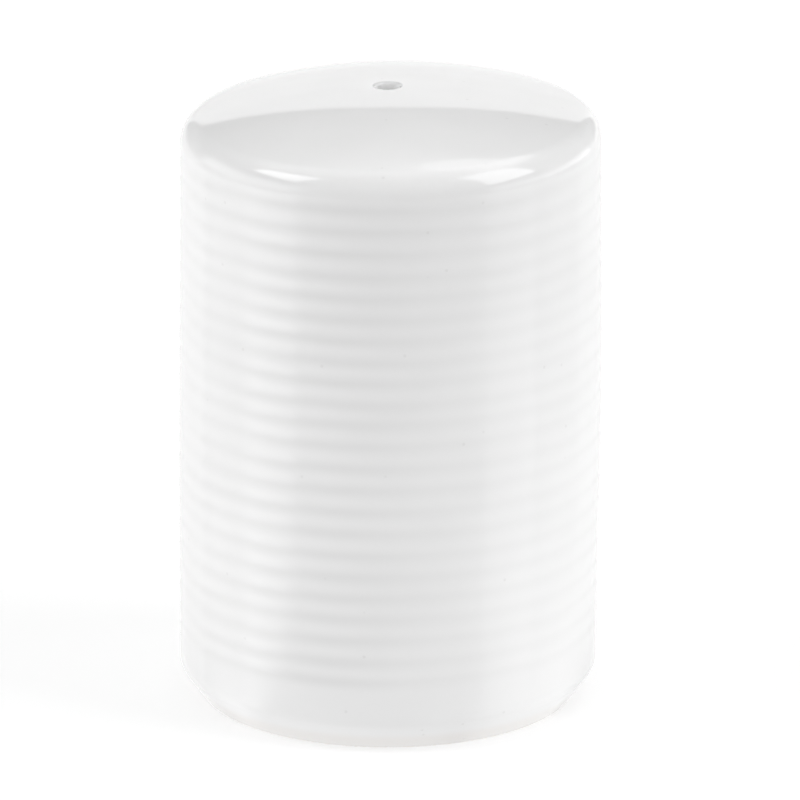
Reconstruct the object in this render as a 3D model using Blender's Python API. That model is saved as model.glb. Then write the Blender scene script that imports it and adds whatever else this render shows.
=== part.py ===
"""A ribbed porcelain pepper shaker with a soft push-in stopper in its base.

Metres, +Z up. The origin is the middle of the foot ring, on the surface that the shaker stands on.
The body is one turned shell, drawn as a closed outline of (radius, height) points and spun about Z.
The stopper is turned the same way about its own origin, on its seat under the base, and gets a pull tab.
"""

import math

import bmesh
import bpy
from mathutils import Vector

# Porcelain body, outside
BODY_HEIGHT = 0.0800
BODY_DIAMETER = 0.0532
DOME_RADIUS = 0.0775
SHOULDER_RADIUS = 0.0036
FOOT_INSET = 0.00277
FOOT_RISE = 0.0039
FOOT_TAPER_ROUNDING = 0.0027
FOOT_RING_WIDTH = 0.0032
FOOT_EDGE_ROUNDING = 0.0004

# Throwing rings on the wall: shallow grooves one pitch apart, from the lowest one up to the shoulder
GROOVE_PITCH = 0.0028
GROOVE_WIDTH = 0.0019
GROOVE_DEPTH = 0.0002
LOWEST_GROOVE = 0.0087
GROOVE_SHOULDER_MARGIN = 0.0020

# Porcelain body, inside
WALL_THICKNESS = 0.0035
DOME_THICKNESS = 0.0040
BASE_THICKNESS = 0.0040
CHAMBER_FLOOR_ROUNDING = 0.0030
CHAMBER_SHOULDER_ROUNDING = 0.0040
RECESS_ROUNDING = 0.0008

# Openings
SHAKING_HOLE_DIAMETER = 0.0032
SHAKING_HOLE_ROUNDING = 0.0003
FILLING_HOLE_DIAMETER = 0.0220
FILLING_HOLE_ROUNDING = 0.0005

# Stopper
SEAT_GAP = 0.0003
TABLE_CLEARANCE = 0.0008
FLANGE_OVERLAP = 0.0026
FLANGE_THICKNESS = 0.0018
FLANGE_ROUNDING = 0.0005
PLUG_LENGTH = 0.0085
PLUG_WALL = 0.0020
PLUG_LEAD_IN = 0.0020
PLUG_TIP_INSET = 0.0007
PLUG_TIP_ROUNDING = 0.0005
CUP_FLOOR_ROUNDING = 0.0010
BEAD_COUNT = 2
BEAD_HEIGHT = 0.0005
BEAD_WIDTH = 0.0010
TAB_WIDTH = 0.0080
TAB_INSET = 0.0003
TAB_FINGER_ROOM = 0.0030
TAB_ROOT = 0.0020

# Finishes: linear colour, roughness and clear glaze
PORCELAIN_COLOUR = (0.82, 0.82, 0.81)
PORCELAIN_ROUGHNESS = 0.35
PORCELAIN_GLAZE = 1.0
SILICONE_COLOUR = (0.72, 0.72, 0.70)
SILICONE_ROUGHNESS = 0.55
SILICONE_GLAZE = 0.0

# Facets
BODY_SEGMENTS = 44
STOPPER_SEGMENTS = 32
DOME_STEPS = 8
SHOULDER_STEPS = 5
CORNER_STEPS = 3
TAB_END_STEPS = 10
WELD_DISTANCE = 1e-6
SHARP_ANGLE = math.radians(40)

# Sizes that follow from those above
BODY_RADIUS = BODY_DIAMETER / 2
DOME_CENTRE = BODY_HEIGHT - DOME_RADIUS
CHAMBER_RADIUS = BODY_RADIUS - WALL_THICKNESS
CHAMBER_DOME_RADIUS = DOME_RADIUS - DOME_THICKNESS
FOOT_RADIUS = BODY_RADIUS - FOOT_INSET
FOOT_INNER_RADIUS = FOOT_RADIUS - FOOT_RING_WIDTH
SHAKING_HOLE_RADIUS = SHAKING_HOLE_DIAMETER / 2
FILLING_HOLE_RADIUS = FILLING_HOLE_DIAMETER / 2
SEAT_HEIGHT = TABLE_CLEARANCE + FLANGE_THICKNESS
BASE_HEIGHT = SEAT_HEIGHT + SEAT_GAP
CHAMBER_FLOOR = BASE_HEIGHT + BASE_THICKNESS
FLANGE_RADIUS = FILLING_HOLE_RADIUS + FLANGE_OVERLAP
BEAD_RADIUS = FILLING_HOLE_RADIUS - SEAT_GAP
PLUG_RADIUS = BEAD_RADIUS - BEAD_HEIGHT
CUP_RADIUS = PLUG_RADIUS - PLUG_WALL
TAB_TIP_RADIUS = FOOT_INNER_RADIUS - TAB_FINGER_ROOM
TAB_THICKNESS = FLANGE_THICKNESS - 2 * TAB_INSET


def clear_scene():
    for item in list(bpy.data.objects):
        bpy.data.objects.remove(item)


def finish_material(name, colour, roughness, glaze):
    """A Principled material, with a clear coat for the glaze."""
    material = bpy.data.materials.new(name)
    material.use_nodes = True
    shader = material.node_tree.nodes["Principled BSDF"]
    shader.inputs["Base Color"].default_value = (*colour, 1.0)
    shader.inputs["Roughness"].default_value = roughness
    shader.inputs["Metallic"].default_value = 0.0
    shader.inputs["Coat Weight"].default_value = glaze
    return material


def arc(centre, radius, start, end, steps):
    """Points round a centre from one angle to another, measured from the outward radius towards +Z."""
    angles = [start + (end - start) * step / steps for step in range(steps + 1)]
    return [Vector((centre[0] + radius * math.cos(a), centre[1] + radius * math.sin(a))) for a in angles]


def rounded_run(corners):
    """An open run of straight sides. Each corner is (radius, height, rounding), and 0 keeps it sharp."""
    points = [Vector(corner[:2]) for corner in corners]
    run = [points[0]]
    for before, corner, after, (_, _, rounding) in zip(points, points[1:], points[2:], corners[1:]):
        if not rounding:
            run.append(corner)
            continue
        back = (before - corner).normalized()
        onward = (after - corner).normalized()
        half_angle = back.angle(onward) / 2
        centre = corner + (back + onward).normalized() * rounding / math.sin(half_angle)
        first = corner + back * rounding / math.tan(half_angle) - centre
        last = corner + onward * rounding / math.tan(half_angle) - centre
        for step in range(CORNER_STEPS + 1):
            run.append(centre + rounding * first.slerp(last, step / CORNER_STEPS))
    return run + [points[-1]]


def dome_fillet(dome_radius, cylinder_radius, rounding):
    """Where a rounding under the dome touches it: the rounding's centre and its angle from the dome's axis.

    A positive rounding lies inside the cylinder, as at the shoulder, and a negative one outside, as at a hole.
    """
    reach = dome_radius - abs(rounding)
    across = cylinder_radius - rounding
    centre = (across, DOME_CENTRE + math.sqrt(reach**2 - across**2))
    return centre, math.asin(across / reach)


def groove_points(shoulder_height):
    """The ribbed wall from top to bottom: three points for each groove, crest, root and crest."""
    room = shoulder_height - GROOVE_SHOULDER_MARGIN - LOWEST_GROOVE
    count = int(room / GROOVE_PITCH) + 1
    points = []
    for index in reversed(range(count)):
        root = LOWEST_GROOVE + index * GROOVE_PITCH
        points.append(Vector((BODY_RADIUS, root + GROOVE_WIDTH / 2)))
        points.append(Vector((BODY_RADIUS - GROOVE_DEPTH, root)))
        points.append(Vector((BODY_RADIUS, root - GROOVE_WIDTH / 2)))
    return points


def body_outline():
    """Closed outline of the shell: down the outside from the shaking hole, and back up the inside."""
    upright = math.pi / 2
    rim_centre, rim_lean = dome_fillet(DOME_RADIUS, SHAKING_HOLE_RADIUS, -SHAKING_HOLE_ROUNDING)
    rim = arc(rim_centre, SHAKING_HOLE_ROUNDING, math.pi, upright - rim_lean, CORNER_STEPS)
    shoulder_centre, shoulder_lean = dome_fillet(DOME_RADIUS, BODY_RADIUS, SHOULDER_RADIUS)
    dome = arc((0, DOME_CENTRE), DOME_RADIUS, upright - rim_lean, upright - shoulder_lean, DOME_STEPS)
    shoulder = arc(shoulder_centre, SHOULDER_RADIUS, upright - shoulder_lean, 0, SHOULDER_STEPS)
    wall = groove_points(shoulder_centre[1])
    inner_centre, inner_lean = dome_fillet(CHAMBER_DOME_RADIUS, CHAMBER_RADIUS, CHAMBER_SHOULDER_ROUNDING)
    hole_lean = math.asin(SHAKING_HOLE_RADIUS / CHAMBER_DOME_RADIUS)
    underside = rounded_run(
        [
            (*wall[-1], 0),
            (BODY_RADIUS, FOOT_RISE, FOOT_TAPER_ROUNDING),
            (FOOT_RADIUS, 0, FOOT_EDGE_ROUNDING),
            (FOOT_INNER_RADIUS, 0, FOOT_EDGE_ROUNDING),
            (FOOT_INNER_RADIUS, BASE_HEIGHT, RECESS_ROUNDING),
            (FILLING_HOLE_RADIUS, BASE_HEIGHT, FILLING_HOLE_ROUNDING),
            (FILLING_HOLE_RADIUS, CHAMBER_FLOOR, FILLING_HOLE_ROUNDING),
            (CHAMBER_RADIUS, CHAMBER_FLOOR, CHAMBER_FLOOR_ROUNDING),
            (CHAMBER_RADIUS, inner_centre[1], 0),
        ]
    )
    inner_shoulder = arc(inner_centre, CHAMBER_SHOULDER_ROUNDING, 0, upright - inner_lean, CORNER_STEPS)
    inner_dome = arc(
        (0, DOME_CENTRE), CHAMBER_DOME_RADIUS, upright - inner_lean, upright - hole_lean, DOME_STEPS
    )
    return rim + dome[1:] + shoulder[1:] + wall + underside[1:] + inner_shoulder[1:] + inner_dome[1:]


def stopper_outline():
    """Outline of the stopper about its seat: from the axis in its cup, over the plug, to the axis below."""
    corners = [
        (0, 0, 0),
        (CUP_RADIUS, 0, CUP_FLOOR_ROUNDING),
        (CUP_RADIUS, PLUG_LENGTH, PLUG_TIP_ROUNDING),
        (PLUG_RADIUS - PLUG_TIP_INSET, PLUG_LENGTH, PLUG_TIP_ROUNDING),
        (PLUG_RADIUS, PLUG_LENGTH - PLUG_LEAD_IN, 0),
    ]
    bead_pitch = BASE_THICKNESS / (BEAD_COUNT + 1)
    for index in reversed(range(BEAD_COUNT)):
        crest = SEAT_GAP + bead_pitch * (index + 1)
        corners.append((PLUG_RADIUS, crest + BEAD_WIDTH / 2, 0))
        corners.append((BEAD_RADIUS, crest, 0))
        corners.append((PLUG_RADIUS, crest - BEAD_WIDTH / 2, 0))
    corners += [
        (PLUG_RADIUS, 0, 0),
        (FLANGE_RADIUS, 0, FLANGE_ROUNDING),
        (FLANGE_RADIUS, -FLANGE_THICKNESS, FLANGE_ROUNDING),
        (0, -FLANGE_THICKNESS, 0),
    ]
    return rounded_run(corners)


def turned_object(name, outline, segments, material):
    """Spins an outline a full turn about Z into one solid, closing it first unless it ends on the axis.

    The outline runs down its outer side, so that the faces of the solid point out.
    """
    shape = bmesh.new()
    profile = [shape.verts.new((point.x, 0, point.y)) for point in outline]
    edges = [shape.edges.new(pair) for pair in zip(profile, profile[1:])]
    if outline[-1].x > WELD_DISTANCE:
        edges.append(shape.edges.new((profile[-1], profile[0])))
    bmesh.ops.spin(
        shape,
        geom=profile + edges,
        cent=(0, 0, 0),
        axis=(0, 0, 1),
        angle=2 * math.pi,
        steps=segments,
        use_merge=True,
    )
    bmesh.ops.remove_doubles(shape, verts=shape.verts[:], dist=WELD_DISTANCE)
    return object_from(name, shape, material)


def object_from(name, shape, material):
    mesh = bpy.data.meshes.new(name)
    shape.to_mesh(mesh)
    shape.free()
    mesh.materials.append(material)
    mesh.shade_smooth()
    mesh.set_sharp_from_angle(angle=SHARP_ANGLE)
    made = bpy.data.objects.new(name, mesh)
    bpy.context.scene.collection.objects.link(made)
    return made


def tab_object(name, material):
    """The pull tab: a round-ended tongue along +X, rooted in the flange and clear of its two faces."""
    end_radius = TAB_WIDTH / 2
    end = arc((TAB_TIP_RADIUS - end_radius, 0), end_radius, -math.pi / 2, math.pi / 2, TAB_END_STEPS)
    root = FLANGE_RADIUS - TAB_ROOT
    outline = [Vector((root, -end_radius))] + end + [Vector((root, end_radius))]
    bottom = TAB_INSET - FLANGE_THICKNESS
    shape = bmesh.new()
    face = shape.faces.new([shape.verts.new((point.x, point.y, bottom)) for point in outline])
    grown = bmesh.ops.extrude_face_region(shape, geom=[face])
    top = [item for item in grown["geom"] if isinstance(item, bmesh.types.BMVert)]
    bmesh.ops.translate(shape, verts=top, vec=(0, 0, TAB_THICKNESS))
    bmesh.ops.recalc_face_normals(shape, faces=shape.faces[:])
    return object_from(name, shape, material)


def make_stopper(material):
    stopper = turned_object("base_stopper", stopper_outline(), STOPPER_SEGMENTS, material)
    tab = tab_object("pull_tab_guide", material)
    tab.parent = stopper
    tab.hide_render = True
    tab.display_type = "WIRE"
    join = stopper.modifiers.new("pull_tab", "BOOLEAN")
    join.operation = "UNION"
    join.object = tab
    stopper.location.z = SEAT_HEIGHT
    return stopper


def main():
    clear_scene()
    shaker = bpy.data.objects.new("pepper_shaker", None)
    bpy.context.scene.collection.objects.link(shaker)
    porcelain = finish_material(
        "white_glazed_porcelain", PORCELAIN_COLOUR, PORCELAIN_ROUGHNESS, PORCELAIN_GLAZE
    )
    silicone = finish_material("milky_silicone", SILICONE_COLOUR, SILICONE_ROUGHNESS, SILICONE_GLAZE)
    body = turned_object("porcelain_body", body_outline(), BODY_SEGMENTS, porcelain)
    stopper = make_stopper(silicone)
    body.parent = shaker
    stopper.parent = shaker


main()
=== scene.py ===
"""A ribbed porcelain pepper shaker: the glazed body, the silicone stopper in its base and a white studio.

Run as a script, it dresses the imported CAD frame. Metres, +Z up. The shaker stands on Z = 0, and the camera
looks at it along +Y.
"""

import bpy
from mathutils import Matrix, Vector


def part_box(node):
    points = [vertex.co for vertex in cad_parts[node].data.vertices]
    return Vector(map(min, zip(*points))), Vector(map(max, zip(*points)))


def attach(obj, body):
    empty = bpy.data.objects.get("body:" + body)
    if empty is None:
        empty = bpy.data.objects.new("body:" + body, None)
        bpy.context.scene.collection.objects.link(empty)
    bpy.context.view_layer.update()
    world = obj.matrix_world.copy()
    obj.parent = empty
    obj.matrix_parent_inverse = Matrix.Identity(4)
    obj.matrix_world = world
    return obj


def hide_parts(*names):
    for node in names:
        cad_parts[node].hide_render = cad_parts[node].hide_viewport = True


bl_info = {
    "name": "Ribbed Pepper Shaker",
    "version": (1, 0, 0),
    "blender": (4, 5, 0),
    "location": "View3D > Sidebar > Pepper Shaker",
    "description": "Turns a ribbed porcelain pepper shaker, moulds its stopper and lights a white studio",
    "category": "Add Mesh",
}

import math

import bmesh
import bpy
from bpy.props import FloatProperty, FloatVectorProperty, PointerProperty
from mathutils import Matrix, Vector, noise

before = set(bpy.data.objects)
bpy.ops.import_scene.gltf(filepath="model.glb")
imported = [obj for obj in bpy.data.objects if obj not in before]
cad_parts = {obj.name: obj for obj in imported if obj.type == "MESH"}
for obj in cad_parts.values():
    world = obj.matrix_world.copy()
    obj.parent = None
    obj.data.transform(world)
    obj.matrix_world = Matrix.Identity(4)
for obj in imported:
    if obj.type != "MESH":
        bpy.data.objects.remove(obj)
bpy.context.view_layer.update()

BODY_NODE = "porcelain_body"
STOPPER_NODE = "base_stopper"
BODY_LOW, BODY_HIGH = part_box(BODY_NODE)
STOPPER_LOW, STOPPER_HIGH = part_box(STOPPER_NODE)

# Porcelain body, outside
FOOT_TAPER_ROUNDING = 0.0027
FOOT_RING_WIDTH = 0.0032
FOOT_EDGE_ROUNDING = 0.0004
BARE_FOOT_HEIGHT = 0.00025
# Heights over which a warm thin glaze tint with painted shade darkens the wall towards the foot
FOOT_TINT_AND_SHADE_HEIGHTS = (0.0012, 0.0026)

# Throwing rings: the uneven heights of their grooves, their wander round the wall and their changing depth
RING_HEIGHTS = (
    *(0.00947, 0.01212, 0.01497, 0.01777, 0.02057, 0.02342, 0.02627, 0.02917),
    *(0.03207, 0.03492, 0.03782, 0.04072, 0.04357, 0.04627, 0.04922, 0.05192),
    *(0.05472, 0.05752, 0.06027, 0.06302, 0.06592, 0.06882, 0.07162),
)
RING_HALF_WIDTH = 0.00080
RING_WANDER_TURNS = 1.6
RING_WANDER_RISE = 330.0
RING_DEPTH_TURNS = 2.3
RING_DEPTH_RISE = 260.0
RING_DEPTH_VARIATION = 0.55
RING_DEPTH_PLACE = Vector((7.3, 2.9, 4.1))

# Unevenness of the thrown pot: the wall swells at mid-height and leans towards +X, the dome sits aslant
WALL_SWELL = 0.00024
SWELL_MIDDLE = 0.038
SWELL_HALF_HEIGHT = 0.036
WALL_LEAN = 0.00040
LEAN_HEIGHT = 0.055
DOME_SLANT = math.radians(0.6)
SLANT_START = 0.066
SLANT_END = 0.076

# Painted shade in the grooves of the rings, strongest on the side facing the front left and weaker elsewhere
GROOVE_SHADE_SIDE = Vector((math.sin(math.radians(-21)), -math.cos(math.radians(-21)), 0))
GROOVE_SHADE_SPREAD = math.radians(15.5)
GROOVE_SHADE_ELSEWHERE = 0.3

# Porcelain body, inside
WALL_THICKNESS = 0.0035
DOME_THICKNESS = 0.0040
BASE_THICKNESS = 0.0040
CHAMBER_FLOOR_ROUNDING = 0.0030
CHAMBER_SHOULDER_ROUNDING = 0.0040
RECESS_ROUNDING = 0.0008

# Openings. The shaking hole was cut a little off the axis, and the dome around it follows.
SHAKING_HOLE_ROUNDING = 0.0004
SHAKING_HOLE_OFFSET = -0.00042
HOLE_SHIFT_CORE = 0.0030
HOLE_SHIFT_REACH = 0.0140
HOLE_SHIFT_DEPTH = 0.0080
FILLING_HOLE_RADIUS = 0.0110
FILLING_HOLE_ROUNDING = 0.0005

# Stopper, measured from its seat under the base
SEAT_GAP = 0.0003
FLANGE_ROUNDING = 0.0005
PLUG_WALL = 0.0020
PLUG_LEAD_IN = 0.0020
PLUG_TIP_INSET = 0.0007
PLUG_TIP_ROUNDING = 0.0005
CUP_FLOOR_ROUNDING = 0.0010
BEAD_COUNT = 2
BEAD_HEIGHT = 0.0005
TAB_INSET = 0.0003
TAB_ROOT = 0.0020
TAB_EDGE_ROUNDING = 0.0003
GRIP_COUNT = 3
GRIP_PITCH = 0.0011
GRIP_RADIUS = 0.00022
GRIP_HALF_LENGTH = 0.0026

# Facets
BODY_SEGMENTS = 192
RIM_STEPS = 8
DOME_STEPS = 60
SHOULDER_STEPS = 26
WALL_ROWS = 250
BODY_CORNER_STEPS = 8
CHAMBER_DOME_STEPS = 24
STOPPER_SEGMENTS = 128
STOPPER_CORNER_STEPS = 5
BEAD_STEPS = 8
TAB_END_STEPS = 24
TAB_EDGE_STEPS = 3
GRIP_SEGMENTS = 16
WELD_DISTANCE = 1e-6
SHARP_ANGLE = math.radians(50)
ROUND_PROFILE = 0.5
UPRIGHT = math.pi / 2

# Glaze, clay and silicone: pattern scales per metre, bump heights in metres
MOTTLE_SCALE = 75.0
MOTTLE_SPREAD = (0.35, 0.65)
SPECK_SCALE = 400.0
SPECK_SHARE = 0.7
SPECK_RADII = (0.0001, 0.0003)
SPECK_STRENGTH = 0.15
RIPPLE_SCALE = 230.0
RIPPLE_HEIGHT = 0.000006
PEEL_SCALE = 1500.0
PEEL_SHARE = 0.12
GLAZE_ROUGHNESS = 0.4
GLAZE_COAT_ROUGHNESS = 0.015
GLAZE_INDEX = 1.5
HOLE_GLOW_DEPTH = 0.0035
HOLE_GLOW_TINT = (1.0, 1.0, 1.0)
HOLE_GLOW_REACH = 0.0016
HOLE_LIP_DEPTH = 0.0001
CLAY_SCALE = 2600.0
CLAY_ROUGHNESS = (0.72, 0.9)
CLAY_BUMP = 0.00003
SILICONE_CLOUD_SCALE = 260.0
SILICONE_ROUGHNESS = (0.42, 0.6)
SILICONE_BUMP_SCALE = 5200.0
SILICONE_BUMP = 0.000012
SILICONE_GLOW = 0.35
SILICONE_GLOW_DEPTH = 0.0015
SILICONE_GLOW_TINT = (1.0, 1.0, 0.9)

# Sockets of a Mix node that mixes colours
MIX_COLOURS = (6, 7)
MIX_RESULT = 2

# Camera: where it aims on the axis, and how far that point lies from the middle of the picture
CAMERA_AIM = Vector((0.0, 0.0, 0.0369))
CAMERA_OFFSET = Vector((0.00154, 0.00131))
CAMERA_SENSOR = 36.0
CAMERA_CLIP = (0.1, 10.0)

# Studio: floor and the light by direction. Azimuth runs from the camera towards +X, both angles in degrees.
# A panel's azimuth and elevation each give its middle, half width and softness. A softbox has straight edges.
WHITE = (1.0, 1.0, 1.0, 1.0)
QUARTER_TURN = 90.0
FLOOR_RADIUS = 0.9
FLOOR_SEGMENTS = 96
FLOOR_GLOW = 0.62
FLOOR_SHADOW_SHARE = 0.52
FLOOR_CONTACT_REACH = 0.005
FLOOR_CONTACT_SHADE = 0.06
SOFTBOXES = {
    "left_softbox": {
        "corners": ((-95.6, 36.9), (-102.5, 49.5), (-64.7, 61.6), (-59.4, 34.9)),
        "softness": 0.25,
        "level": 4.50,
    },
    "right_softbox": {
        "corners": ((54.4, 16.2), (54.8, 59.2), (96.8, 60.0), (95.2, 48.1), (88.0, 22.0)),
        "softness": 0.25,
        "level": 3.80,
    },
    "right_wing": {
        "corners": (
            *((176.4, 51.0), (163.3, 43.3), (143.0, 45.0)),
            *((104.5, 54.0), (97.0, 64.0), (165.0, 66.0)),
        ),
        "softness": 0.25,
        "level": 1.15,
    },
}
BACK_SWEEP = {
    "azimuth": (180.0, 17.5),
    "height": 28.8,
    "softness": 0.05,
    "foot_softness": 4.0,
    "level": 0.98,
}
PANELS = {
    "back_ceiling": {"azimuth": (180.0, 90.0, 12.0), "elevation": (90.0, 40.0, 9.0), "level": 1.02},
    "front_ceiling": {"azimuth": (0.0, 90.0, 12.0), "elevation": (90.0, 42.0, 12.0), "level": 0.42},
    "room": {"azimuth": (0.0, 52.0, 8.0), "elevation": (34.0, 16.0, 8.0), "level": 0.63},
    "room_foot": {"azimuth": (0.0, 52.0, 8.0), "elevation": (9.0, 9.0, 5.0), "level": 0.41},
    "left_wall_top": {"azimuth": (-87.0, 36.0, 8.0), "elevation": (11.0, 11.0, 4.0), "level": 1.80},
    "left_corner": {"azimuth": (-146.0, 17.0, 6.0), "elevation": (9.0, 11.0, 5.0), "level": 0.47},
    "right_wall_top": {"azimuth": (95.0, 40.0, 2.0), "elevation": (1.75, 5.75, 1.5), "level": 1.45},
    "right_wall_crown": {"azimuth": (95.0, 40.0, 2.0), "elevation": (17.75, 10.25, 2.0), "level": 0.24},
    "right_corner": {"azimuth": (150.0, 15.0, 4.0), "elevation": (7.0, 10.0, 4.0), "level": 0.42},
    "left_far_table": {"azimuth": (-69.0, 18.0, 7.0), "elevation": (-9.0, 9.0, 5.0), "level": 1.10},
    "left_near_table": {"azimuth": (-69.0, 18.0, 7.0), "elevation": (-39.0, 21.0, 7.0), "level": 2.40},
    "left_far_wing": {"azimuth": (-105.0, 18.0, 7.0), "elevation": (-9.0, 9.0, 5.0), "level": 0.65},
    "left_near_wing": {"azimuth": (-105.0, 18.0, 7.0), "elevation": (-39.0, 21.0, 7.0), "level": 1.15},
    "right_far_table": {"azimuth": (71.0, 15.0, 1.0), "elevation": (-9.0, 9.0, 5.0), "level": 0.85},
    "right_near_table": {"azimuth": (71.0, 15.0, 1.0), "elevation": (-39.0, 21.0, 7.0), "level": 1.40},
    "right_far_wing": {"azimuth": (104.5, 18.5, 3.0), "elevation": (-9.0, 9.0, 5.0), "level": 0.56},
    "right_near_wing": {"azimuth": (104.5, 18.5, 3.0), "elevation": (-39.0, 21.0, 7.0), "level": 1.12},
    "back_table": {"azimuth": (180.0, 57.0, 3.0), "elevation": (-30.0, 30.0, 4.0), "level": 1.03},
    "front_far_table": {"azimuth": (0.0, 52.0, 8.0), "elevation": (-9.0, 9.0, 5.0), "level": 0.50},
    "under_table": {"azimuth": (0.0, 200.0, 5.0), "elevation": (-90.0, 30.0, 7.0), "level": 0.85},
}

# White table sheet in front of the shaker. It fades at its sides and far end, and is dimmer at the right.
TABLE_START = 0.0230
TABLE_END = 0.240
TABLE_HALF_ANGLE = math.radians(62)
TABLE_LEFT_FADE = (-54.5, -40.5)
TABLE_RIGHT_FADE = (49.0, 61.0)
TABLE_DIM_ANGLES = (8.0, 46.0)
TABLE_DIM_SHARE = 0.72
TABLE_ARC_STEPS = 16
TABLE_DROP = 0.0005
TABLE_REACH = (0.0, 0.227)
TABLE_SOFTNESS = 0.008
TABLE_LEVEL = 1.01

# White card on the table at the right, which the wall mirrors between two upright edges. Each side starts
# at the wall and runs in its direction from one distance to another. The card is dimmer beside the foot.
CARD_LEFT = {"azimuth": 52.8, "reach": (-0.0040, 0.250)}
CARD_RIGHT = {"azimuth": 85.0, "reach": (0.012, 0.250)}
CARD_FOOT_CORNER = {"azimuth": 60.0, "radius": 0.0233}
CARD_MIRROR_RADIUS = 0.0266
CARD_DROP = 0.0004
CARD_LEVEL = 1.46
CARD_DIM_REACH = (0.026, 0.042)
CARD_DIM_SHARE = 0.71


class PorcelainBodySettings(bpy.types.PropertyGroup):
    """Sizes and colours of the glazed body"""

    height: FloatProperty(
        name="Height",
        description="From the table to the top of the dome",
        default=0.0800,
        subtype="DISTANCE",
        unit="LENGTH",
    )
    diameter: FloatProperty(
        name="Diameter",
        description="Across the crests of the throwing rings",
        default=BODY_HIGH.x - BODY_LOW.x,
        subtype="DISTANCE",
        unit="LENGTH",
    )
    dome_radius: FloatProperty(
        name="Dome radius",
        description="Radius of the sphere that the top is part of",
        default=0.0775,
        subtype="DISTANCE",
        unit="LENGTH",
    )
    shoulder_radius: FloatProperty(
        name="Shoulder radius",
        description="Rounding between the dome and the wall",
        default=0.0036,
        subtype="DISTANCE",
        unit="LENGTH",
    )
    foot_inset: FloatProperty(
        name="Foot inset",
        description="How far the foot stands inside the wall",
        default=0.00277,
        subtype="DISTANCE",
        unit="LENGTH",
    )
    foot_rise: FloatProperty(
        name="Foot rise",
        description="Height over which the wall tapers to the foot",
        default=0.0039,
        subtype="DISTANCE",
        unit="LENGTH",
    )
    ring_depth: FloatProperty(
        name="Ring depth",
        description="How deep the groove between two rings is",
        default=0.00006,
        precision=6,
        subtype="DISTANCE",
        unit="LENGTH",
    )
    ring_wander: FloatProperty(
        name="Ring wander",
        description="How far a ring strays from its height as it goes round",
        default=0.00011,
        precision=6,
        subtype="DISTANCE",
        unit="LENGTH",
    )
    shaking_hole: FloatProperty(
        name="Shaking hole",
        description="Diameter of the hole in the dome",
        default=0.0032,
        subtype="DISTANCE",
        unit="LENGTH",
    )
    glaze_colour: FloatVectorProperty(
        name="Glaze",
        description="White of the glazed porcelain",
        default=(0.85, 0.85, 0.85),
        subtype="COLOR",
        min=0.0,
        max=1.0,
    )
    thin_glaze_colour: FloatVectorProperty(
        name="Thin glaze",
        description="White where the glaze lies thinner",
        default=(0.835, 0.835, 0.835),
        subtype="COLOR",
        min=0.0,
        max=1.0,
    )
    # Painted shade: the colour that darkens the grooves of the rings
    groove_shade_colour: FloatVectorProperty(
        name="Painted groove shade",
        description="White darkened by painted shade in the grooves",
        default=(0.776, 0.776, 0.776),
        subtype="COLOR",
        min=0.0,
        max=1.0,
    )
    # A warm thin glaze tint with painted shade near the foot
    foot_tint_and_shade_colour: FloatVectorProperty(
        name="Foot glaze and shade",
        description="Warm thin glaze with painted shade just above the foot ring",
        default=(0.82, 0.805, 0.79),
        subtype="COLOR",
        min=0.0,
        max=1.0,
    )
    # Painted shade: the grey on the rounded lip of the shaking hole
    lip_shade_colour: FloatVectorProperty(
        name="Painted lip shade",
        description="Grey of the painted shade on the lip of the shaking hole",
        default=(0.6, 0.6, 0.6),
        subtype="COLOR",
        min=0.0,
        max=1.0,
    )
    speck_colour: FloatVectorProperty(
        name="Specks",
        description="Tiny specks under the glaze",
        default=(0.42, 0.41, 0.40),
        subtype="COLOR",
        min=0.0,
        max=1.0,
    )
    clay_colour: FloatVectorProperty(
        name="Bare clay",
        description="Fired clay where the foot ring is wiped free of glaze",
        default=(0.74, 0.71, 0.65),
        subtype="COLOR",
        min=0.0,
        max=1.0,
    )


class BaseStopperSettings(bpy.types.PropertyGroup):
    """Sizes and colours of the push-in stopper"""

    flange_diameter: FloatProperty(
        name="Flange diameter",
        description="Across the flange that closes the filling hole",
        default=0.0272,
        subtype="DISTANCE",
        unit="LENGTH",
    )
    flange_thickness: FloatProperty(
        name="Flange thickness",
        description="Thickness of the flange",
        default=0.0018,
        subtype="DISTANCE",
        unit="LENGTH",
    )
    plug_length: FloatProperty(
        name="Plug length",
        description="How far the hollow plug reaches into the body",
        default=0.0085,
        subtype="DISTANCE",
        unit="LENGTH",
    )
    tab_width: FloatProperty(
        name="Tab width",
        description="Width of the pull tab",
        default=0.0080,
        subtype="DISTANCE",
        unit="LENGTH",
    )
    tab_reach: FloatProperty(
        name="Tab reach",
        description="From the axis to the tip of the pull tab",
        default=STOPPER_HIGH.x,
        subtype="DISTANCE",
        unit="LENGTH",
    )
    silicone_colour: FloatVectorProperty(
        name="Silicone",
        description="Milky colour of the silicone",
        default=(0.74, 0.74, 0.72),
        subtype="COLOR",
        min=0.0,
        max=1.0,
    )
    clouded_colour: FloatVectorProperty(
        name="Clouded silicone",
        description="Colour of the cloudier parts of the silicone",
        default=(0.68, 0.68, 0.655),
        subtype="COLOR",
        min=0.0,
        max=1.0,
    )


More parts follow.
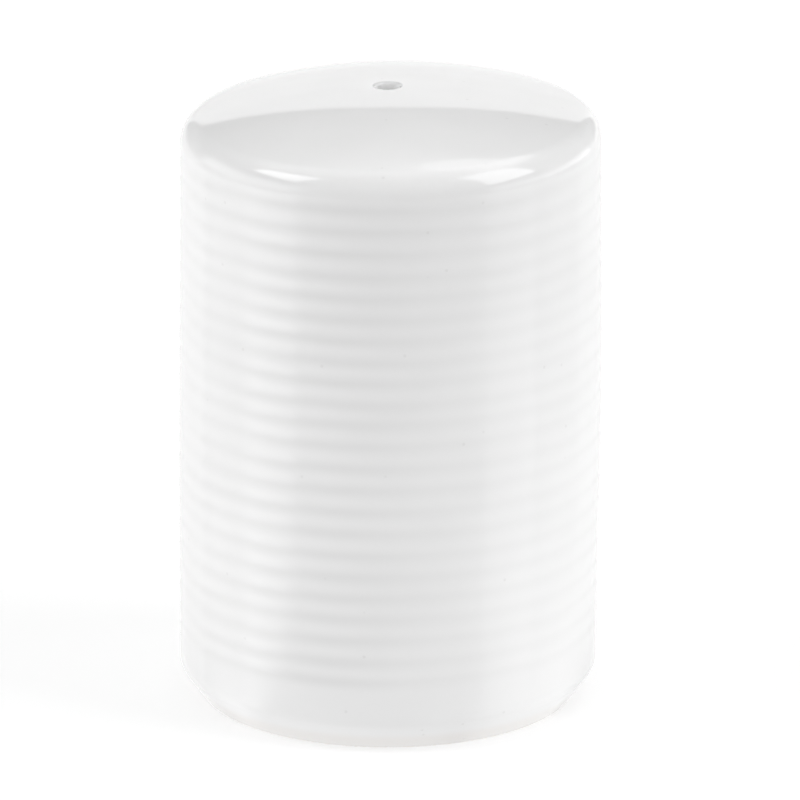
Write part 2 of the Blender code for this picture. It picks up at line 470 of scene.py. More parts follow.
class StudioSettings(bpy.types.PropertyGroup):
    """Floor, light and camera"""

    floor_colour: FloatVectorProperty(
        name="Floor",
        description="Colour of the plain floor",
        default=(0.85, 0.85, 0.85),
        subtype="COLOR",
        min=0.0,
        max=1.0,
    )
    light_level: FloatProperty(
        name="Light level",
        description="Brightness of all the light panels together",
        default=1.0,
        min=0.0,
    )
    camera_distance: FloatProperty(
        name="Camera distance",
        description="From the camera to the middle of the shaker",
        default=1.33,
        subtype="DISTANCE",
        unit="LENGTH",
    )
    camera_elevation: FloatProperty(
        name="Camera elevation",
        description="How far the camera looks down",
        default=math.radians(18.3),
        subtype="ANGLE",
        unit="ROTATION",
    )
    camera_lens: FloatProperty(
        name="Camera lens",
        description="Focal length",
        default=471.0,
        subtype="DISTANCE_CAMERA",
        unit="CAMERA",
    )


def smooth_step(low, high, value):
    """Rises from 0 to 1 between two values, with a soft start and end."""
    share = min(max((value - low) / (high - low), 0.0), 1.0)
    return share * share * (3 - 2 * share)


def arc(centre, radius, start, end, steps):
    """Points round a centre from one angle to another, measured from the outward radius towards +Z."""
    angles = [start + (end - start) * step / steps for step in range(steps + 1)]
    return [Vector((centre[0] + radius * math.cos(a), centre[1] + radius * math.sin(a))) for a in angles]


def rounded_run(corners, steps):
    """An open run of straight sides. Each corner is (radius, height, rounding), and 0 keeps it sharp."""
    points = [Vector(corner[:2]) for corner in corners]
    run = [points[0]]
    for before, corner, after, (_, _, rounding) in zip(points, points[1:], points[2:], corners[1:]):
        if not rounding:
            run.append(corner)
            continue
        back = (before - corner).normalized()
        onward = (after - corner).normalized()
        half_angle = back.angle(onward) / 2
        centre = corner + (back + onward).normalized() * rounding / math.sin(half_angle)
        first = corner + back * rounding / math.tan(half_angle) - centre
        last = corner + onward * rounding / math.tan(half_angle) - centre
        for step in range(steps + 1):
            run.append(centre + rounding * first.slerp(last, step / steps))
    return run + [points[-1]]


def dome_fillet(body, dome_radius, cylinder_radius, rounding):
    """Where a rounding under the dome touches it: the rounding's centre and its angle from the dome's axis.

    A positive rounding lies inside the cylinder, as at the shoulder, a negative one outside, as at a hole.
    """
    reach = dome_radius - abs(rounding)
    across = cylinder_radius - rounding
    dome_centre = body.height - body.dome_radius
    centre = (across, dome_centre + math.sqrt(reach**2 - across**2))
    return centre, math.asin(across / reach)


def body_outline(body):
    """Closed outline of the shell: down the outside from the shaking hole, and back up the inside."""
    wall_radius = body.diameter / 2
    dome_centre = (0, body.height - body.dome_radius)
    hole_radius = body.shaking_hole / 2
    rim_centre, rim_lean = dome_fillet(body, body.dome_radius, hole_radius, -SHAKING_HOLE_ROUNDING)
    rim = arc(rim_centre, SHAKING_HOLE_ROUNDING, math.pi, UPRIGHT - rim_lean, RIM_STEPS)
    shoulder_centre, lean = dome_fillet(body, body.dome_radius, wall_radius, body.shoulder_radius)
    dome = arc(dome_centre, body.dome_radius, UPRIGHT - rim_lean, UPRIGHT - lean, DOME_STEPS)
    shoulder = arc(shoulder_centre, body.shoulder_radius, UPRIGHT - lean, 0, SHOULDER_STEPS)
    wall_end = body.foot_rise + FOOT_TAPER_ROUNDING
    row_height = (shoulder_centre[1] - wall_end) / WALL_ROWS
    wall = [Vector((wall_radius, shoulder_centre[1] - row_height * row)) for row in range(1, WALL_ROWS)]
    foot_radius = wall_radius - body.foot_inset
    foot_inner_radius = foot_radius - FOOT_RING_WIDTH
    base_height = STOPPER_LOW.z + bpy.context.scene.base_stopper.flange_thickness + SEAT_GAP
    chamber_floor = base_height + BASE_THICKNESS
    chamber_radius = wall_radius - WALL_THICKNESS
    chamber_dome = body.dome_radius - DOME_THICKNESS
    inner_centre, inner_lean = dome_fillet(body, chamber_dome, chamber_radius, CHAMBER_SHOULDER_ROUNDING)
    underside = rounded_run(
        [
            (wall_radius, wall_end, 0),
            (wall_radius, body.foot_rise, FOOT_TAPER_ROUNDING),
            (foot_radius, 0, FOOT_EDGE_ROUNDING),
            (foot_inner_radius, 0, FOOT_EDGE_ROUNDING),
            (foot_inner_radius, base_height, RECESS_ROUNDING),
            (FILLING_HOLE_RADIUS, base_height, FILLING_HOLE_ROUNDING),
            (FILLING_HOLE_RADIUS, chamber_floor, FILLING_HOLE_ROUNDING),
            (chamber_radius, chamber_floor, CHAMBER_FLOOR_ROUNDING),
            (chamber_radius, inner_centre[1], 0),
        ],
        BODY_CORNER_STEPS,
    )
    inner_shoulder = arc(
        inner_centre, CHAMBER_SHOULDER_ROUNDING, 0, UPRIGHT - inner_lean, BODY_CORNER_STEPS
    )
    hole_lean = math.asin(hole_radius / chamber_dome)
    inner_dome = arc(
        dome_centre, chamber_dome, UPRIGHT - inner_lean, UPRIGHT - hole_lean, CHAMBER_DOME_STEPS
    )
    return rim + dome[1:] + shoulder[1:] + wall + underside + inner_shoulder[1:] + inner_dome[1:]


def stopper_outline(stopper):
    """Outline of the stopper about its seat: from the axis in its cup, over the plug, to the axis below."""
    bead_radius = FILLING_HOLE_RADIUS - SEAT_GAP
    plug_radius = bead_radius - BEAD_HEIGHT
    cup_radius = plug_radius - PLUG_WALL
    top = rounded_run(
        [
            (0, 0, 0),
            (cup_radius, 0, CUP_FLOOR_ROUNDING),
            (cup_radius, stopper.plug_length, PLUG_TIP_ROUNDING),
            (plug_radius - PLUG_TIP_INSET, stopper.plug_length, PLUG_TIP_ROUNDING),
            (plug_radius, stopper.plug_length - PLUG_LEAD_IN, 0),
        ],
        STOPPER_CORNER_STEPS,
    )
    beads = []
    for index in reversed(range(BEAD_COUNT)):
        crest = SEAT_GAP + BASE_THICKNESS / (BEAD_COUNT + 1) * (index + 1)
        beads += arc((plug_radius, crest), BEAD_HEIGHT, UPRIGHT, -UPRIGHT, BEAD_STEPS)
    flange_radius = stopper.flange_diameter / 2
    flange = rounded_run(
        [
            (plug_radius, 0, 0),
            (flange_radius, 0, FLANGE_ROUNDING),
            (flange_radius, -stopper.flange_thickness, FLANGE_ROUNDING),
            (0, -stopper.flange_thickness, 0),
        ],
        STOPPER_CORNER_STEPS,
    )
    return top + beads + flange


def turned_shape(outline, segments):
    """Spins an outline a full turn about Z, closing it first unless it ends on the axis.

    The outline runs down its outer side, so that the faces point out.
    """
    shape = bmesh.new()
    for layer in ("ring_shade", "hole_glow", "hole_lip_shade"):
        shape.verts.layers.float.new(layer)
    profile = [shape.verts.new((point.x, 0, point.y)) for point in outline]
    edges = [shape.edges.new(pair) for pair in zip(profile, profile[1:])]
    if outline[-1].x > WELD_DISTANCE:
        edges.append(shape.edges.new((profile[-1], profile[0])))
    bmesh.ops.spin(
        shape,
        geom=profile + edges,
        cent=(0, 0, 0),
        axis=(0, 0, 1),
        angle=2 * math.pi,
        steps=segments,
        use_merge=True,
    )
    bmesh.ops.remove_doubles(shape, verts=shape.verts[:], dist=WELD_DISTANCE)
    return shape


def finished_object(name, shape, *materials):
    """Makes a smooth-shaded object of a shape, with edges left sharp where its faces turn sharply."""
    mesh = bpy.data.meshes.new(name)
    shape.to_mesh(mesh)
    shape.free()
    for material in materials:
        mesh.materials.append(material)
    mesh.shade_smooth()
    mesh.set_sharp_from_angle(angle=SHARP_ANGLE)
    made = bpy.data.objects.new(name, mesh)
    bpy.context.scene.collection.objects.link(made)
    return made


def ring_groove(body, angle, height):
    """How far a point of the wall lies in a groove, 0 on a crest to 1 at a root, and the groove's depth."""
    around = Vector((math.cos(angle), math.sin(angle), 0))
    place = around * RING_WANDER_TURNS + Vector((0, 0, height * RING_WANDER_RISE))
    wander = body.ring_wander * noise.noise(place)
    away = min(abs(height - wander - ring) for ring in RING_HEIGHTS)
    valley = math.exp(-((away / RING_HALF_WIDTH) ** 2))
    place = around * RING_DEPTH_TURNS + Vector((0, 0, height * RING_DEPTH_RISE)) + RING_DEPTH_PLACE
    depth = body.ring_depth * (1 + RING_DEPTH_VARIATION * noise.noise(place))
    return valley, depth


def throw_rings(shape, body):
    """Presses the throwing rings into the wall, and marks how much painted shade each point of the grooves
    gets.
    """
    wall_radius = body.diameter / 2
    groove_shades = shape.verts.layers.float["ring_shade"]
    for vertex in shape.verts:
        radius = vertex.co.xy.length
        if radius < wall_radius - WELD_DISTANCE:
            continue
        angle = math.atan2(vertex.co.y, vertex.co.x)
        valley, depth = ring_groove(body, angle, vertex.co.z)
        vertex.co.xy *= (radius - depth * valley) / radius
        # Painted shade, deepest in the grooves on the front left side of the pot
        shaded_side = math.exp((vertex.co.xy.normalized().dot(GROOVE_SHADE_SIDE.xy) - 1) / GROOVE_SHADE_SPREAD**2)
        vertex[groove_shades] = valley * (GROOVE_SHADE_ELSEWHERE + (1 - GROOVE_SHADE_ELSEWHERE) * shaded_side)


def mark_shaking_hole(shape, body):
    """Marks where light comes through the porcelain round the shaking hole, and the painted shade on its lip.
    """
    glows, lip_shades = (shape.verts.layers.float[name] for name in ("hole_glow", "hole_lip_shade"))
    bore_radius = body.shaking_hole / 2
    rim_radius = bore_radius + SHAKING_HOLE_ROUNDING
    for vertex in shape.verts:
        radius = vertex.co.xy.length
        if vertex.co.z > body.height - HOLE_SHIFT_DEPTH:
            vertex[glows] = 1 - smooth_step(rim_radius, rim_radius + HOLE_GLOW_REACH, radius)
        # Painted shade on the rounded lip of the hole
        if vertex.co.z > body.height - SHAKING_HOLE_ROUNDING - HOLE_LIP_DEPTH:
            across = (radius - bore_radius) / SHAKING_HOLE_ROUNDING
            vertex[lip_shades] = math.sin(math.pi * min(max(across, 0.0), 1.0))


def shift_shaking_hole(shape, body):
    """Moves the shaking hole a little sideways, and the dome around it along its own curve."""
    for vertex in shape.verts:
        radius = vertex.co.xy.length
        if radius > HOLE_SHIFT_REACH or vertex.co.z < body.height - HOLE_SHIFT_DEPTH:
            continue
        level = math.sqrt(body.dome_radius**2 - radius**2)
        vertex.co.x += SHAKING_HOLE_OFFSET * (1 - smooth_step(HOLE_SHIFT_CORE, HOLE_SHIFT_REACH, radius))
        vertex.co.z += math.sqrt(body.dome_radius**2 - vertex.co.xy.length_squared) - level


def settle_body(shape, body):
    """Lets the thrown wall swell and lean a little, and the dome sit slightly aslant."""
    for vertex in shape.verts:
        height = vertex.co.z
        away = min(abs(height - SWELL_MIDDLE) / SWELL_HALF_HEIGHT, 1.0)
        vertex.co.xy *= 1 + WALL_SWELL * (1 - away**2) ** 2 / (body.diameter / 2)
        vertex.co.x += WALL_LEAN * smooth_step(0, LEAN_HEIGHT, height)
        vertex.co.z += vertex.co.x * math.tan(DOME_SLANT) * smooth_step(SLANT_START, SLANT_END, height)


def wipe_foot_ring(shape):
    """Gives the faces that the shaker stands on their bare clay."""
    for face in shape.faces:
        if face.calc_center_median().z < BARE_FOOT_HEIGHT:
            face.material_index = 1


def tab_shape(stopper):
    """The pull tab: a round-ended tongue along +X with soft edges, rooted in the flange."""
    end_radius = stopper.tab_width / 2
    end_centre = (stopper.tab_reach - end_radius, 0)
    end = arc(end_centre, end_radius, -UPRIGHT, UPRIGHT, TAB_END_STEPS)
    root = stopper.flange_diameter / 2 - TAB_ROOT
    outline = [Vector((root, -end_radius))] + end + [Vector((root, end_radius))]
    bottom = TAB_INSET - stopper.flange_thickness
    shape = bmesh.new()
    face = shape.faces.new([shape.verts.new((point.x, point.y, bottom)) for point in outline])
    grown = bmesh.ops.extrude_face_region(shape, geom=[face])
    top = [item for item in grown["geom"] if isinstance(item, bmesh.types.BMVert)]
    bmesh.ops.translate(shape, verts=top, vec=(0, 0, stopper.flange_thickness - 2 * TAB_INSET))
    bmesh.ops.recalc_face_normals(shape, faces=shape.faces[:])
    rims = [edge for edge in shape.edges if edge.calc_face_angle() > SHARP_ANGLE]
    bmesh.ops.bevel(
        shape,
        geom=rims,
        offset=TAB_EDGE_ROUNDING,
        segments=TAB_EDGE_STEPS,
        profile=ROUND_PROFILE,
        affect="EDGES",
    )
    return shape


def grip_shape(stopper, index):
    """One of the raised bars across the underside of the pull tab."""
    shape = bmesh.new()
    bmesh.ops.create_uvsphere(
        shape, u_segments=GRIP_SEGMENTS, v_segments=GRIP_SEGMENTS // 2, radius=GRIP_RADIUS
    )
    for vertex in shape.verts:
        if abs(vertex.co.y) > WELD_DISTANCE:
            vertex.co.y += math.copysign(GRIP_HALF_LENGTH, vertex.co.y)
    across = stopper.tab_reach - stopper.tab_width / 2 + (index - (GRIP_COUNT - 1) / 2) * GRIP_PITCH
    bottom = TAB_INSET - stopper.flange_thickness
    bmesh.ops.translate(shape, verts=shape.verts[:], vec=(across, 0, bottom))
    return shape


def weld_on(target, tool):
    """Joins a tool object to a target as one closed mesh, and removes the tool."""
    join = target.modifiers.new("weld", "BOOLEAN")
    join.operation = "UNION"
    join.solver = "EXACT"
    join.object = tool
    welded = bpy.data.meshes.new_from_object(target.evaluated_get(bpy.context.evaluated_depsgraph_get()))
    target.modifiers.clear()
    target.data = welded
    bpy.data.objects.remove(tool)


def new_node(tree, kind, inputs=None, **settings):
    """Adds a node. Each input is a value for its socket, or an output socket to link to it."""
    made = tree.nodes.new(kind)
    for setting, value in settings.items():
        setattr(made, setting, value)
    for socket, value in (inputs or {}).items():
        if isinstance(value, bpy.types.NodeSocket):
            tree.links.new(value, made.inputs[socket])
        else:
            made.inputs[socket].default_value = value
    return made


def reckon(tree, operation, *values):
    """The result of a Math node."""
    return new_node(tree, "ShaderNodeMath", dict(enumerate(values)), operation=operation).outputs[0]


def spread(tree, value, low, high, first=0.0, last=1.0):
    """A value taken smoothly from one range to another."""
    inputs = {"Value": value, "From Min": low, "From Max": high, "To Min": first, "To Max": last}
    return new_node(tree, "ShaderNodeMapRange", inputs, interpolation_type="SMOOTHSTEP").outputs[0]


def blend_colours(tree, share, first, second):
    """A colour between two others."""
    made = new_node(tree, "ShaderNodeMix", {"Factor": share}, data_type="RGBA")
    for socket, colour in zip(MIX_COLOURS, (first, second)):
        if isinstance(colour, bpy.types.NodeSocket):
            tree.links.new(colour, made.inputs[socket])
        else:
            made.inputs[socket].default_value = (*colour, 1.0)
    return made.outputs[MIX_RESULT]


def new_material(name):
    """A material with its Principled shader, its node tree and its object coordinates."""
    material = bpy.data.materials.new(name)
    material.use_nodes = True
    tree = material.node_tree
    place = new_node(tree, "ShaderNodeTexCoord").outputs["Object"]
    return material, tree, tree.nodes["Principled BSDF"], place


def noise_value(tree, place, scale, detail=2.0):
    """Soft noise at a scale per metre."""
    inputs = {"Vector": place, "Scale": scale, "Detail": detail}
    return new_node(tree, "ShaderNodeTexNoise", inputs).outputs["Fac"]


def speck_share(tree, place):
    """1 in a few tiny round specks scattered through the clay, and 0 elsewhere."""
    inputs = {"Vector": place, "Scale": SPECK_SCALE}
    cells = new_node(tree, "ShaderNodeTexVoronoi", inputs)
    draw = new_node(tree, "ShaderNodeSeparateColor", {"Color": cells.outputs["Color"]})
    chosen = reckon(tree, "GREATER_THAN", draw.outputs["Red"], SPECK_SHARE)
    inner, outer = (radius * SPECK_SCALE for radius in SPECK_RADII)
    dot = spread(tree, cells.outputs["Distance"], inner, outer, 1.0, 0.0)
    return reckon(tree, "MULTIPLY", chosen, dot)


def glazed_porcelain(body):
    """White porcelain under an uneven clear glaze with specks, with painted shade in grooves, hole lip and
    foot.
    """
    material, tree, shader, place = new_material("white_glazed_porcelain")
    mottle = spread(tree, noise_value(tree, place, MOTTLE_SCALE), *MOTTLE_SPREAD)
    colour = blend_colours(tree, mottle, body.glaze_colour, body.thin_glaze_colour)
    # Painted shade darkens the grooves of the rings
    valley = new_node(tree, "ShaderNodeAttribute", attribute_name="ring_shade").outputs["Fac"]
    colour = blend_colours(tree, valley, colour, body.groove_shade_colour)
    height = new_node(tree, "ShaderNodeSeparateXYZ", {"Vector": place}).outputs["Z"]
    # A warm thin glaze tint with painted shade, darker towards the bottom
    foot = spread(tree, height, *FOOT_TINT_AND_SHADE_HEIGHTS, 1.0, 0.0)
    colour = blend_colours(tree, foot, colour, body.foot_tint_and_shade_colour)
    # Painted shade on the lip of the shaking hole
    lip = new_node(tree, "ShaderNodeAttribute", attribute_name="hole_lip_shade").outputs["Fac"]
    colour = blend_colours(tree, lip, colour, body.lip_shade_colour)
    specks = reckon(tree, "MULTIPLY", speck_share(tree, place), SPECK_STRENGTH)
    colour = blend_colours(tree, specks, colour, body.speck_colour)
    ripple = noise_value(tree, place, RIPPLE_SCALE)
    peel = reckon(tree, "MULTIPLY", noise_value(tree, place, PEEL_SCALE), PEEL_SHARE)
    inputs = {"Height": reckon(tree, "ADD", ripple, peel), "Distance": RIPPLE_HEIGHT, "Strength": 1.0}
    bump = new_node(tree, "ShaderNodeBump", inputs).outputs["Normal"]
    tree.links.new(colour, shader.inputs["Base Color"])
    tree.links.new(bump, shader.inputs["Normal"])
    tree.links.new(bump, shader.inputs["Coat Normal"])
    shader.inputs["Roughness"].default_value = GLAZE_ROUGHNESS
    shader.inputs["Specular IOR Level"].default_value = 0.0
    shader.inputs["Coat Weight"].default_value = 1.0
    shader.inputs["Coat Roughness"].default_value = GLAZE_COAT_ROUGHNESS
    shader.inputs["Coat IOR"].default_value = GLAZE_INDEX
    glow = new_node(tree, "ShaderNodeAttribute", attribute_name="hole_glow").outputs["Fac"]
    tree.links.new(glow, shader.inputs["Subsurface Weight"])
    shader.inputs["Subsurface Radius"].default_value = HOLE_GLOW_TINT
    shader.inputs["Subsurface Scale"].default_value = HOLE_GLOW_DEPTH
    return material


def bare_clay(body):
    """The dry, slightly gritty clay of the wiped foot ring."""
    material, tree, shader, place = new_material("bare_foot_clay")
    grain = noise_value(tree, place, CLAY_SCALE)
    shade = spread(tree, grain, *MOTTLE_SPREAD)
    colour = blend_colours(tree, shade, body.clay_colour, body.thin_glaze_colour)
    bump = new_node(tree, "ShaderNodeBump", {"Height": grain, "Distance": CLAY_BUMP})
    tree.links.new(colour, shader.inputs["Base Color"])
    tree.links.new(spread(tree, grain, *MOTTLE_SPREAD, *CLAY_ROUGHNESS), shader.inputs["Roughness"])
    tree.links.new(bump.outputs["Normal"], shader.inputs["Normal"])
    return material


def milky_silicone(stopper):
    """Soft, slightly cloudy silicone with the fine texture of its mould."""
    material, tree, shader, place = new_material("milky_silicone")
    cloud = spread(tree, noise_value(tree, place, SILICONE_CLOUD_SCALE), *MOTTLE_SPREAD)
    colour = blend_colours(tree, cloud, stopper.silicone_colour, stopper.clouded_colour)
    grain = noise_value(tree, place, SILICONE_BUMP_SCALE)
    bump = new_node(tree, "ShaderNodeBump", {"Height": grain, "Distance": SILICONE_BUMP})
    tree.links.new(colour, shader.inputs["Base Color"])
    tree.links.new(spread(tree, cloud, 0.0, 1.0, *SILICONE_ROUGHNESS), shader.inputs["Roughness"])
    tree.links.new(bump.outputs["Normal"], shader.inputs["Normal"])
    shader.inputs["Subsurface Weight"].default_value = SILICONE_GLOW
    shader.inputs["Subsurface Radius"].default_value = SILICONE_GLOW_TINT
    shader.inputs["Subsurface Scale"].default_value = SILICONE_GLOW_DEPTH
    return material


def stage_material(name):
    """A material with no shader yet, its node tree, a see-through shader and where a face shows its back."""
    material = bpy.data.materials.new(name)
    material.use_nodes = True
    tree = material.node_tree
    tree.nodes.remove(tree.nodes["Principled BSDF"])
    below = new_node(tree, "ShaderNodeNewGeometry").outputs["Backfacing"]
    return material, tree, new_node(tree, "ShaderNodeBsdfTransparent"), below


def show_mix(tree, share, first, second, output="Material Output"):
    """Shows one shader where a share is 0, and another where it is 1."""
    inputs = {0: share, 1: first.outputs[0], 2: second.outputs[0]}
    mixed = new_node(tree, "ShaderNodeMixShader", inputs)
    tree.links.new(mixed.outputs[0], tree.nodes[output].inputs["Surface"])


def white_floor(studio):
    """A plain pale floor that the camera sees as white with the shaker's soft shadow, not from below."""
    material, tree, clear, below = stage_material("white_floor")
    shadowed = tuple(FLOOR_SHADOW_SHARE * channel for channel in studio.floor_colour)
    shadow = new_node(tree, "ShaderNodeBsdfDiffuse", {"Color": (*shadowed, 1.0)})
    near = new_node(tree, "ShaderNodeAmbientOcclusion", {"Distance": FLOOR_CONTACT_REACH}).outputs["AO"]
    level = spread(tree, near, 0.0, 1.0, FLOOR_GLOW - FLOOR_CONTACT_SHADE, FLOOR_GLOW)
    glow = new_node(tree, "ShaderNodeEmission", {"Strength": level})
    seen = new_node(tree, "ShaderNodeAddShader", {0: glow.outputs[0], 1: shadow.outputs[0]})
    show_mix(tree, below, seen, clear)
    return material


def bearing(azimuth, elevation=0.0):
    """The direction at an azimuth and elevation in degrees."""
    turn = math.radians(azimuth)
    climb = math.radians(elevation)
    return Vector((math.sin(turn) * math.cos(climb), -math.cos(turn) * math.cos(climb), math.sin(climb)))


def share_along(tree, way, axis):
    """How far a direction points along an axis."""
    inputs = {0: way, 1: tuple(axis)}
    return new_node(tree, "ShaderNodeVectorMath", inputs, operation="DOT_PRODUCT").outputs["Value"]


def angles_off(tree, way, elevation, azimuth_middle, elevation_middle):
    """How many radians a direction lies beside and above or below the middle of a panel."""
    aside = share_along(tree, way, bearing(azimuth_middle + QUARTER_TURN))
    ahead = share_along(tree, way, bearing(azimuth_middle))
    turn = reckon(tree, "ABSOLUTE", reckon(tree, "ARCTAN2", aside, ahead))
    climb = reckon(tree, "ABSOLUTE", reckon(tree, "SUBTRACT", elevation, math.radians(elevation_middle)))
    return turn, climb


def panel_light(tree, way, elevation, panel, level):
    """The light of a panel: its level inside, softly falling to 0 at its sides, top and bottom."""
    angles = angles_off(tree, way, elevation, panel["azimuth"][0], panel["elevation"][0])
    for angle, (_, half_width, soft) in zip(angles, (panel["azimuth"], panel["elevation"])):
        inner, outer = math.radians(half_width - soft), math.radians(half_width + soft)
        level = reckon(tree, "MULTIPLY", level, spread(tree, angle, inner, outer, 1.0, 0.0))
    return level


def sweep_light(tree, way, elevation, sweep, level):
    """The light of the arched white sweep that rises from the table behind the shaker."""
    middle, half_width = sweep["azimuth"]
    turn, climb = angles_off(tree, way, elevation, middle, 0.0)
    across = reckon(tree, "DIVIDE", turn, math.radians(half_width))
    along = reckon(tree, "DIVIDE", climb, math.radians(sweep["height"]))
    place = new_node(tree, "ShaderNodeCombineXYZ", {"X": across, "Y": along}).outputs[0]
    reach = new_node(tree, "ShaderNodeVectorMath", {0: place}, operation="LENGTH").outputs["Value"]
    arch = spread(tree, reach, 1 - sweep["softness"], 1 + sweep["softness"], level, 0.0)
    soft = math.radians(sweep["foot_softness"])
    return reckon(tree, "MULTIPLY", arch, spread(tree, elevation, -soft, soft))


def softbox_light(tree, way, softbox, level):
    """The light of a flat softbox seen between the straight edges that join its corners."""
    corners = [bearing(*corner) for corner in softbox["corners"]]
    middle = sum(corners, Vector())
    soft = math.sin(math.radians(softbox["softness"]))
    for corner, onward in zip(corners, corners[1:] + corners[:1]):
        side = corner.cross(onward).normalized()
        inward = side * math.copysign(1.0, side.dot(middle))
        level = reckon(tree, "MULTIPLY", level, spread(tree, share_along(tree, way, inward), -soft, soft))
    return level


def studio_world(studio):
    """Soft light around the shaker. The camera sees plain white behind it."""
    world = bpy.data.worlds.new("white_studio")
    world.use_nodes = True
    tree = world.node_tree
    way = new_node(tree, "ShaderNodeTexCoord").outputs["Generated"]
    height = new_node(tree, "ShaderNodeSeparateXYZ", {"Vector": way}).outputs["Z"]
    elevation = reckon(tree, "ARCSINE", height)
    light = sweep_light(tree, way, elevation, BACK_SWEEP, BACK_SWEEP["level"] * studio.light_level)
    for softbox in SOFTBOXES.values():
        level = softbox["level"] * studio.light_level
        light = reckon(tree, "ADD", light, softbox_light(tree, way, softbox, level))
    for panel in PANELS.values():
        level = panel["level"] * studio.light_level
        light = reckon(tree, "ADD", light, panel_light(tree, way, elevation, panel, level))
    rays = new_node(tree, "ShaderNodeLightPath")
    white = reckon(tree, "MAXIMUM", rays.outputs["Is Camera Ray"], rays.outputs["Is Transmission Ray"])
    lamps = new_node(tree, "ShaderNodeBackground", {"Strength": light, "Color": WHITE})
    backdrop = new_node(tree, "ShaderNodeBackground", {"Strength": 1.0, "Color": WHITE})
    show_mix(tree, white, lamps, backdrop, "World Output")
    bpy.context.scene.world = world


def floor_object(studio):
    """A round floor for the camera. The table's panels, sheet and card light the shaker in its place."""
    shape = bmesh.new()
    bmesh.ops.create_circle(shape, cap_ends=True, radius=FLOOR_RADIUS, segments=FLOOR_SEGMENTS)
    floor = finished_object("studio_floor", shape, white_floor(studio))
    floor.visible_glossy = False
    floor.visible_diffuse = False
    floor.visible_shadow = False


def white_table(studio):
    """The glow of the table sheet, upwards only."""
    material, tree, clear, below = stage_material("white_table")
    place = new_node(tree, "ShaderNodeTexCoord").outputs["Object"]
    aside, behind, _ = new_node(tree, "ShaderNodeSeparateXYZ", {"Vector": place}).outputs
    ahead = reckon(tree, "MULTIPLY", behind, -1.0)
    turn = reckon(tree, "ARCTAN2", aside, ahead)
    left, right, dim = (
        tuple(map(math.radians, angles)) for angles in (TABLE_LEFT_FADE, TABLE_RIGHT_FADE, TABLE_DIM_ANGLES)
    )
    inside = reckon(tree, "MULTIPLY", spread(tree, turn, *left), spread(tree, turn, *right, 1.0, 0.0))
    upward = reckon(tree, "MULTIPLY", reckon(tree, "SUBTRACT", 1.0, below), inside)
    near, far = TABLE_REACH
    soft = TABLE_SOFTNESS
    light = spread(tree, ahead, far - soft, far + soft, TABLE_LEVEL * studio.light_level, 0.0)
    light = reckon(tree, "MULTIPLY", light, spread(tree, ahead, near - soft, near + soft))
    light = reckon(tree, "MULTIPLY", light, spread(tree, turn, *dim, 1.0, TABLE_DIM_SHARE))
    show_mix(tree, upward, clear, new_node(tree, "ShaderNodeEmission", {"Strength": light}))
    return material


def table_object(studio):
    """The table sheet that lights the front of the shaker from below, out of the camera's sight."""
    right = TABLE_HALF_ANGLE - UPRIGHT
    left = -TABLE_HALF_ANGLE - UPRIGHT
    inner = arc((0, 0), TABLE_START, right, left, TABLE_ARC_STEPS)
    half_width = TABLE_END * math.tan(TABLE_HALF_ANGLE)
    outline = inner + [Vector((-half_width, -TABLE_END)), Vector((half_width, -TABLE_END))]
    shape = bmesh.new()
    shape.faces.new([shape.verts.new((point.x, point.y, -TABLE_DROP)) for point in outline])
    table = finished_object("studio_table", shape, white_table(studio))
    table.visible_camera = False


def white_card(studio):
    """The glow of the card, upwards only."""
    material, tree, clear, below = stage_material("white_card")
    place = new_node(tree, "ShaderNodeTexCoord").outputs["Object"]
    reach = new_node(tree, "ShaderNodeVectorMath", {0: place}, operation="LENGTH").outputs["Value"]
    level = CARD_LEVEL * studio.light_level
    light = spread(tree, reach, *CARD_DIM_REACH, CARD_DIM_SHARE * level, level)
    show_mix(tree, below, new_node(tree, "ShaderNodeEmission", {"Strength": light}), clear)
    return material


def card_side(side):
    """The near and far end of a side of the card, which the wall mirrors as one upright edge."""
    start = bearing(side["azimuth"] / 2) * CARD_MIRROR_RADIUS
    return [start + bearing(side["azimuth"]) * reach for reach in side["reach"]]


def card_object(studio):
    """The white card on the table, out of the camera's sight."""
    left_near, left_far = card_side(CARD_LEFT)
    right_near, right_far = card_side(CARD_RIGHT)
    foot_corner = bearing(CARD_FOOT_CORNER["azimuth"]) * CARD_FOOT_CORNER["radius"]
    outline = (left_near, left_far, right_far, right_near, foot_corner)
    shape = bmesh.new()
    shape.faces.new([shape.verts.new((place.x, place.y, -CARD_DROP)) for place in outline])
    card = finished_object("studio_card", shape, white_card(studio))
    card.visible_camera = False


def studio_camera(studio):
    """The camera, aimed a little beside the axis as the shaker stands in the picture."""
    slope = studio.camera_elevation
    right = Vector((1, 0, 0))
    up = Vector((0, math.sin(slope), math.cos(slope)))
    back = Vector((0, -math.cos(slope), math.sin(slope)))
    aim = CAMERA_AIM + right * CAMERA_OFFSET.x + up * CAMERA_OFFSET.y
    lens = bpy.data.cameras.new("studio_camera")
    lens.sensor_width = CAMERA_SENSOR
    lens.lens = studio.camera_lens
    lens.clip_start, lens.clip_end = CAMERA_CLIP
    camera = bpy.data.objects.new("studio_camera", lens)
    turned = Matrix((right, up, back)).transposed().to_4x4()
    camera.matrix_world = Matrix.Translation(aim + back * studio.camera_distance) @ turned
    bpy.context.scene.collection.objects.link(camera)
    bpy.context.scene.camera = camera


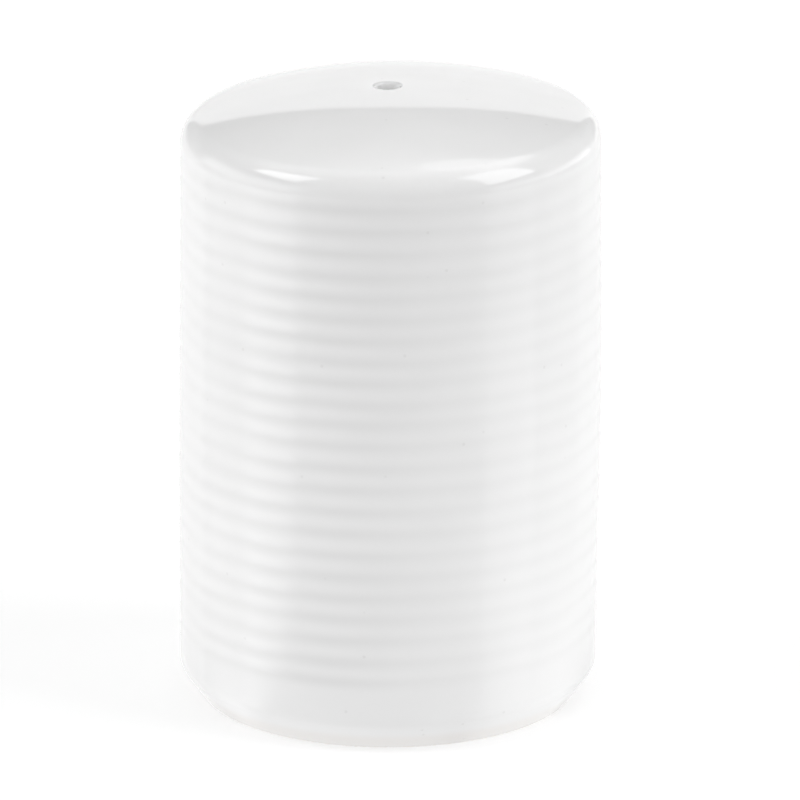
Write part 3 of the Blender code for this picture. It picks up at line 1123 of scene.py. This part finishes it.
class SHAKER_OT_porcelain_body(bpy.types.Operator):
    """Turns the glazed porcelain body and its throwing rings"""

    bl_idname = "shaker.porcelain_body"
    bl_label = "Porcelain body"

    def execute(self, context):
        body = context.scene.porcelain_body
        shape = turned_shape(body_outline(body), BODY_SEGMENTS)
        throw_rings(shape, body)
        mark_shaking_hole(shape, body)
        shift_shaking_hole(shape, body)
        settle_body(shape, body)
        wipe_foot_ring(shape)
        made = finished_object("glazed_body", shape, glazed_porcelain(body), bare_clay(body))
        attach(made, "shaker")
        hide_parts(BODY_NODE)
        return {"FINISHED"}


class SHAKER_OT_base_stopper(bpy.types.Operator):
    """Moulds the silicone stopper with its sealing beads and pull tab"""

    bl_idname = "shaker.base_stopper"
    bl_label = "Base stopper"

    def execute(self, context):
        stopper = context.scene.base_stopper
        silicone = milky_silicone(stopper)
        made = finished_object(
            "silicone_stopper", turned_shape(stopper_outline(stopper), STOPPER_SEGMENTS), silicone
        )
        tab = finished_object("pull_tab", tab_shape(stopper), silicone)
        for index in range(GRIP_COUNT):
            weld_on(tab, finished_object("grip_bar", grip_shape(stopper, index), silicone))
        weld_on(made, tab)
        made.data.set_sharp_from_angle(angle=SHARP_ANGLE)
        made.location.z = STOPPER_LOW.z + stopper.flange_thickness
        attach(made, "stopper")
        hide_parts(STOPPER_NODE)
        return {"FINISHED"}


class SHAKER_OT_studio(bpy.types.Operator):
    """Lays the floor, lights the studio and sets up the camera"""

    bl_idname = "shaker.studio"
    bl_label = "White studio"

    def execute(self, context):
        studio = context.scene.shaker_studio
        floor_object(studio)
        table_object(studio)
        card_object(studio)
        studio_world(studio)
        studio_camera(studio)
        context.scene.view_settings.view_transform = "Standard"
        return {"FINISHED"}


class SHAKER_PT_sidebar(bpy.types.Panel):
    """Sizes, colours and makers of the pepper shaker"""

    bl_idname = "SHAKER_PT_sidebar"
    bl_label = "Pepper Shaker"
    bl_space_type = "VIEW_3D"
    bl_region_type = "UI"
    bl_category = "Pepper Shaker"

    def draw(self, context):
        scene = context.scene
        makers = (
            (SHAKER_OT_porcelain_body, scene.porcelain_body),
            (SHAKER_OT_base_stopper, scene.base_stopper),
            (SHAKER_OT_studio, scene.shaker_studio),
        )
        for maker, settings in makers:
            box = self.layout.box()
            for name in settings.__annotations__:
                box.prop(settings, name)
            box.operator(maker.bl_idname)


CLASSES = (
    PorcelainBodySettings,
    BaseStopperSettings,
    StudioSettings,
    SHAKER_OT_porcelain_body,
    SHAKER_OT_base_stopper,
    SHAKER_OT_studio,
    SHAKER_PT_sidebar,
)


def register():
    """Adds the settings, the operators and the panel to Blender."""
    for item in CLASSES:
        bpy.utils.register_class(item)
    bpy.types.Scene.porcelain_body = PointerProperty(type=PorcelainBodySettings)
    bpy.types.Scene.base_stopper = PointerProperty(type=BaseStopperSettings)
    bpy.types.Scene.shaker_studio = PointerProperty(type=StudioSettings)


def unregister():
    """Takes them out again, in the opposite order."""
    del bpy.types.Scene.shaker_studio
    del bpy.types.Scene.base_stopper
    del bpy.types.Scene.porcelain_body
    for item in reversed(CLASSES):
        bpy.utils.unregister_class(item)


def main():
    """Makes the shaker and its studio."""
    register()
    bpy.ops.shaker.porcelain_body()
    bpy.ops.shaker.base_stopper()
    bpy.ops.shaker.studio()


if __name__ == "__main__":
    main()
